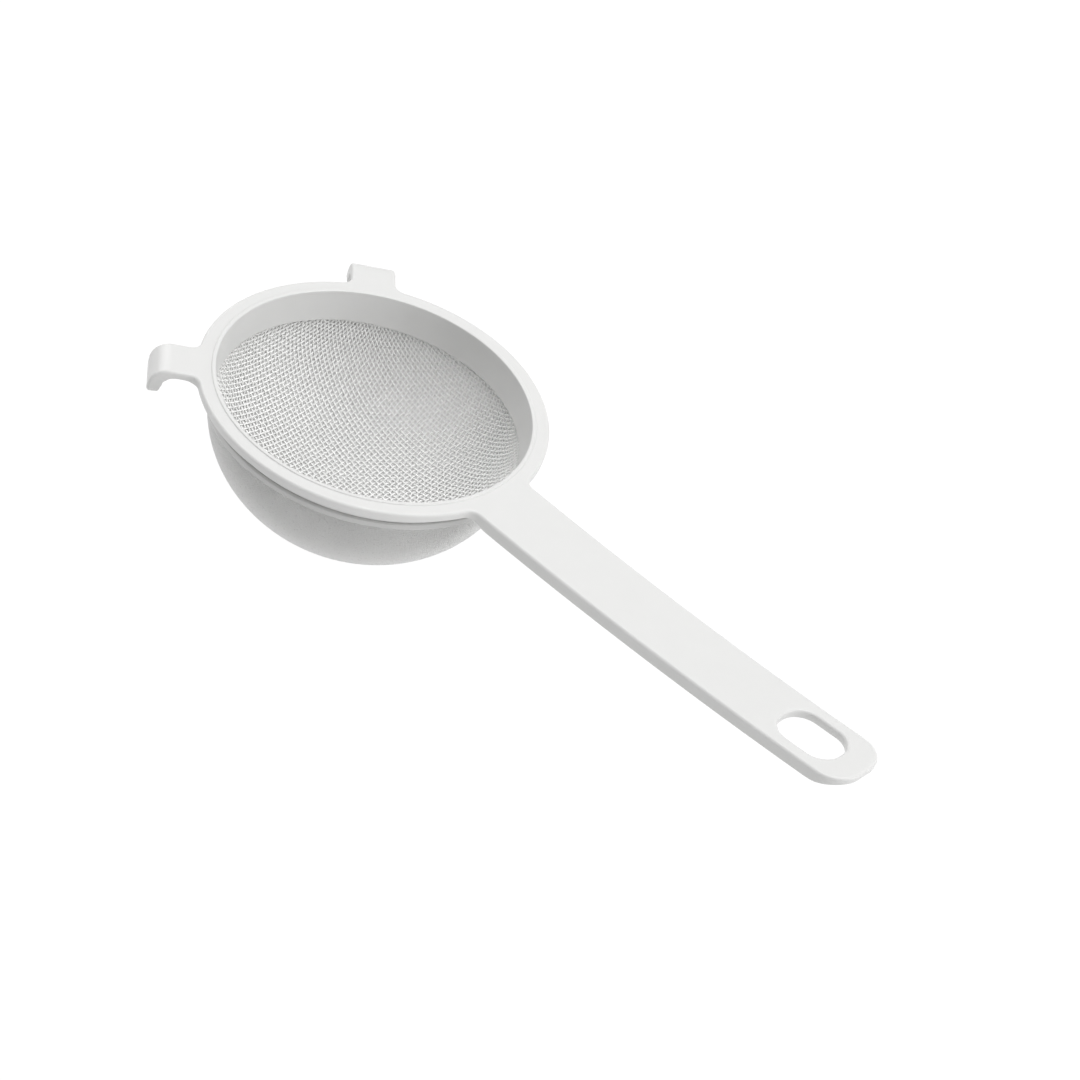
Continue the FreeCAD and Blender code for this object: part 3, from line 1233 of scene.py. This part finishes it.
@dataclass
class Studio:
    """A light table under the strainer, soft light over it, and the camera, in metres."""

    softboxes: tuple[Softbox, ...] = (
        Softbox("top_softbox", (0.15, 0.1, 1.3), (0.08, 0, 0), 1.2, 14.0),
        Softbox("side_softbox", (1.5, 0.45, 0.5), (0.05, 0, 0), 0.9, 10.0),
        Softbox("fill_softbox", (-1.3, 0.35, 0.9), (0, 0, 0), 1.0, 9.0),
    )
    floor_size: float = 12.0
    floor_gap: float = 0.0005
    horizon_light: float = 0.2
    zenith_light: float = 0.5
    eye: tuple[float, float, float] = (0.53119, -0.78139, 0.72193)
    aim: tuple[float, float, float] = (0.08256, -0.00487, 0.0)
    roll: float = 19.38
    lens: float = 116.67
    sensor: float = 36.0
    clip: tuple[float, float] = (0.05, 20.0)

    def build(self) -> None:
        """Makes the floor, the lights and the camera."""
        self.lay_floor()
        for softbox in self.softboxes:
            softbox.hang()
        self.fill_world()
        self.place_camera()

    def lay_floor(self) -> None:
        """A flat sheet just under the lowest point of the bowl."""
        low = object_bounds()[0].z - self.floor_gap
        half = self.floor_size / 2
        corners = np.array([(-half, -half, low), (half, -half, low), (half, half, low), (-half, half, low)])
        floor = mesh_piece("floor", corners / MM, [(0, 1, 2, 3)], LightTable().material())
        floor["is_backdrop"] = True

    def fill_world(self) -> None:
        """A pale room, dim at the horizon and brighter overhead."""
        world = bpy.data.worlds.new("pale_room")
        world.use_nodes = True
        tree = world.node_tree
        tree.nodes.clear()
        place = add_node(tree, "ShaderNodeTexCoord").outputs["Generated"]
        height = add_node(tree, "ShaderNodeSeparateXYZ", inputs={"Vector": place}).outputs["Z"]
        light = add_node(
            tree,
            "ShaderNodeMapRange",
            inputs={"Value": height, "To Min": self.horizon_light, "To Max": self.zenith_light},
        )
        glow = add_node(
            tree,
            "ShaderNodeBackground",
            inputs={"Color": linear("#FFFFFF"), "Strength": light.outputs["Result"]},
        )
        add_node(tree, "ShaderNodeOutputWorld", inputs={"Surface": glow.outputs["Background"]})
        bpy.context.scene.world = world

    def place_camera(self) -> None:
        """A long lens looking down along the handle towards the bowl."""
        camera = bpy.data.cameras.new("camera")
        camera.lens, camera.sensor_width = self.lens, self.sensor
        camera.clip_start, camera.clip_end = self.clip
        holder = bpy.data.objects.new("camera", camera)
        look = (Vector(self.aim) - Vector(self.eye)).to_track_quat("-Z", "Y").to_matrix()
        tilt = Matrix.Rotation(math.radians(self.roll), 3, "Z")
        holder.matrix_world = Matrix.Translation(self.eye) @ (look @ tilt).to_4x4()
        bpy.context.scene.collection.objects.link(holder)
        bpy.context.scene.camera = holder
        bpy.context.scene.view_settings.view_transform = "Standard"


def main() -> None:
    """Builds the strainer and its studio."""
    logging.basicConfig(level=logging.INFO, format="%(name)s %(message)s")
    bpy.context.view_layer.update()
    Moulding(MouldedPolypropylene("polypropylene_moulded_satin")).build()
    # The hoop is the moulding's white polypropylene coloured darker: painted shade under the rim's flange.
    Hoop(MouldedPolypropylene("polypropylene_moulded_hoop_painted_shade", "#C4C4C3", "#BEBEBD", roughness=0.36)).build()
    # The coarse gauze is the same white nylon as the fine, coloured lighter: painted light on its threads.
    GauzeBowl(
        node="coarse_gauze", slot=Slot.COARSE,
        finish=NylonMonofilament("nylon_monofilament_woven_coarse_painted_light", "#FAFAF9", "#F2F2F1"),
        radius=54.4, drop=45.6, pitch=1.65, filament=0.62, lift=0.24, sides=6, steps=4,
    ).build()
    # Real fine gauze is woven closer, too fine to show, so it is drawn coarser: three threads to each
    # coarse one, which keeps the two weaves from making a false pattern together.
    # The fine gauze is the same white nylon, coloured darker: painted shade where it shows between the
    # coarse threads and on the bowl's outside.
    GauzeBowl(
        node="fine_gauze", slot=Slot.FINE,
        finish=NylonMonofilament("nylon_monofilament_woven_fine_painted_shade", "#E6E6E5", "#DEDEDD"),
        radius=54.98, drop=46.25, pitch=0.55, filament=0.33, lift=0.07, sides=3, steps=2,
    ).build()
    Studio().build()


if __name__ == "__main__":
    main()
